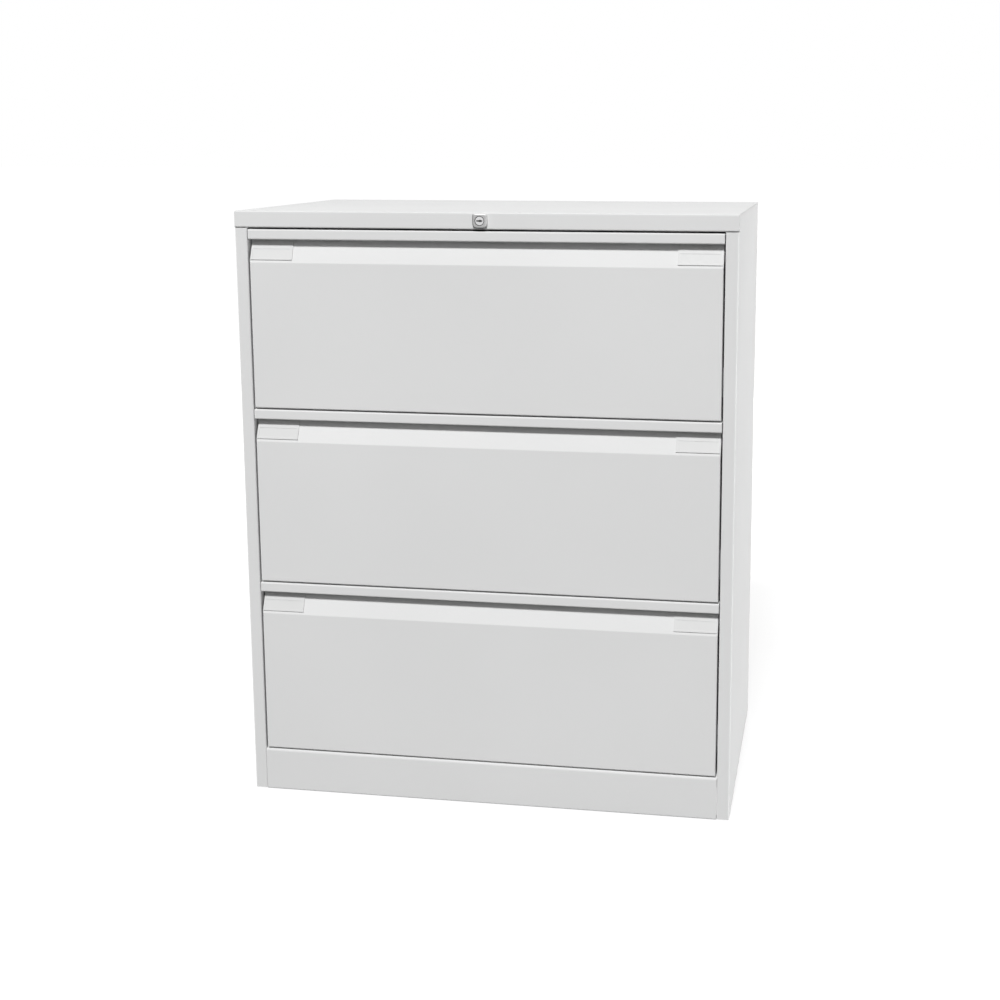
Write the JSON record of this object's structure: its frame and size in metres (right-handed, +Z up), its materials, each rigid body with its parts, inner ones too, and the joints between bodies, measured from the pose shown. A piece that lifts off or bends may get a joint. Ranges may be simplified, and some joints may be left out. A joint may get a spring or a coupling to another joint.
{
  "type": "lateral filing cabinet",
  "caption": "Light grey steel lateral filing cabinet with wide drawers on telescopic runners, full-width finger pulls, a cam lock in the top lip, and levelling feet behind a plinth.",
  "frame": {"origin": "middle of the cabinet's footprint, on the floor", "axes": "+Z up, the drawers open towards -Y, +X to the right as seen from the front"},
  "size_m": [0.8, 0.505, 0.97],
  "materials": {
    "paint": "satin light grey powder coat",
    "moulding": "light grey moulded plastic",
    "zinc": "zinc plated steel",
    "chrome": "satin chrome",
    "rubber": "black rubber"
  },
  "bodies": {
    "case": {"left_side_panel": "paint", "right_side_panel": "paint", "top_panel": "paint", "back_panel": "paint", "base_panel": "paint", "plinth": "paint", "left_front_upright": "zinc", "left_rear_upright": "zinc", "right_front_upright": "zinc", "right_rear_upright": "zinc", "top_left_outer_runner": "zinc", "top_right_outer_runner": "zinc", "middle_left_outer_runner": "zinc", "middle_right_outer_runner": "zinc", "bottom_left_outer_runner": "zinc", "bottom_right_outer_runner": "zinc", "lock_housing": "chrome", "lock_rod_bracket": "zinc", "lock_bar_guide": "zinc"},
    "top_drawer": {"top_drawer_front": "paint", "top_drawer_pull": "paint", "top_drawer_tray": "paint", "top_drawer_back": "paint", "top_drawer_file_rail": "zinc", "top_drawer_left_label_holder": "moulding", "top_drawer_right_label_holder": "moulding", "top_left_inner_runner": "zinc", "top_right_inner_runner": "zinc"},
    "middle_drawer": {"middle_drawer_front": "paint", "middle_drawer_pull": "paint", "middle_drawer_tray": "paint", "middle_drawer_back": "paint", "middle_drawer_file_rail": "zinc", "middle_drawer_left_label_holder": "moulding", "middle_drawer_right_label_holder": "moulding", "middle_left_inner_runner": "zinc", "middle_right_inner_runner": "zinc"},
    "bottom_drawer": {"bottom_drawer_front": "paint", "bottom_drawer_pull": "paint", "bottom_drawer_tray": "paint", "bottom_drawer_back": "paint", "bottom_drawer_file_rail": "zinc", "bottom_drawer_left_label_holder": "moulding", "bottom_drawer_right_label_holder": "moulding", "bottom_left_inner_runner": "zinc", "bottom_right_inner_runner": "zinc"},
    "top_runners": {"top_left_middle_runner": "zinc", "top_right_middle_runner": "zinc"},
    "middle_runners": {"middle_left_middle_runner": "zinc", "middle_right_middle_runner": "zinc"},
    "bottom_runners": {"bottom_left_middle_runner": "zinc", "bottom_right_middle_runner": "zinc"},
    "lock": {"lock_cylinder": "chrome", "lock_rod": "zinc"},
    "lock_bar": {"lock_bar": "zinc"},
    "front_left_foot": {"front_left_foot": "rubber"},
    "front_right_foot": {"front_right_foot": "rubber"},
    "rear_left_foot": {"rear_left_foot": "rubber"},
    "rear_right_foot": {"rear_right_foot": "rubber"}
  },
  "joints": [
    {"name": "top_drawer_slide", "type": "slide", "parent": "case", "child": "top_drawer", "axis": [0, -1, 0], "range_m": [0, 0.4]},
    {"name": "middle_drawer_slide", "type": "slide", "parent": "case", "child": "middle_drawer", "axis": [0, -1, 0], "range_m": [0, 0.4]},
    {"name": "bottom_drawer_slide", "type": "slide", "parent": "case", "child": "bottom_drawer", "axis": [0, -1, 0], "range_m": [0, 0.4]},
    {"name": "top_runners_slide", "type": "slide", "parent": "case", "child": "top_runners", "axis": [0, -1, 0], "range_m": [0, 0.2]},
    {"name": "middle_runners_slide", "type": "slide", "parent": "case", "child": "middle_runners", "axis": [0, -1, 0], "range_m": [0, 0.2]},
    {"name": "bottom_runners_slide", "type": "slide", "parent": "case", "child": "bottom_runners", "axis": [0, -1, 0], "range_m": [0, 0.2]},
    {"name": "lock_turn", "type": "hinge", "parent": "case", "child": "lock", "pos_m": [0, -0.252, 0.9574], "axis": [0, -1, 0], "range_deg": [0, 90]},
    {"name": "lock_bar_lift", "type": "slide", "parent": "case", "child": "lock_bar", "axis": [0, 0, 1], "range_m": [0, 0.0113]},
    {"name": "front_left_foot_screw", "type": "slide", "parent": "case", "child": "front_left_foot", "axis": [0, 0, -1], "range_m": [0, 0.012]},
    {"name": "front_right_foot_screw", "type": "slide", "parent": "case", "child": "front_right_foot", "axis": [0, 0, -1], "range_m": [0, 0.012]},
    {"name": "rear_left_foot_screw", "type": "slide", "parent": "case", "child": "rear_left_foot", "axis": [0, 0, -1], "range_m": [0, 0.012]},
    {"name": "rear_right_foot_screw", "type": "slide", "parent": "case", "child": "rear_right_foot", "axis": [0, 0, -1], "range_m": [0, 0.012]}
  ],
  "couplings": [
    {"joint": "top_runners_slide", "follows": "top_drawer_slide", "ratio": 0.5},
    {"joint": "middle_runners_slide", "follows": "middle_drawer_slide", "ratio": 0.5},
    {"joint": "bottom_runners_slide", "follows": "bottom_drawer_slide", "ratio": 0.5},
    {"joint": "lock_turn", "follows": "lock_bar_lift", "rad_per_m": 139}
  ]
}
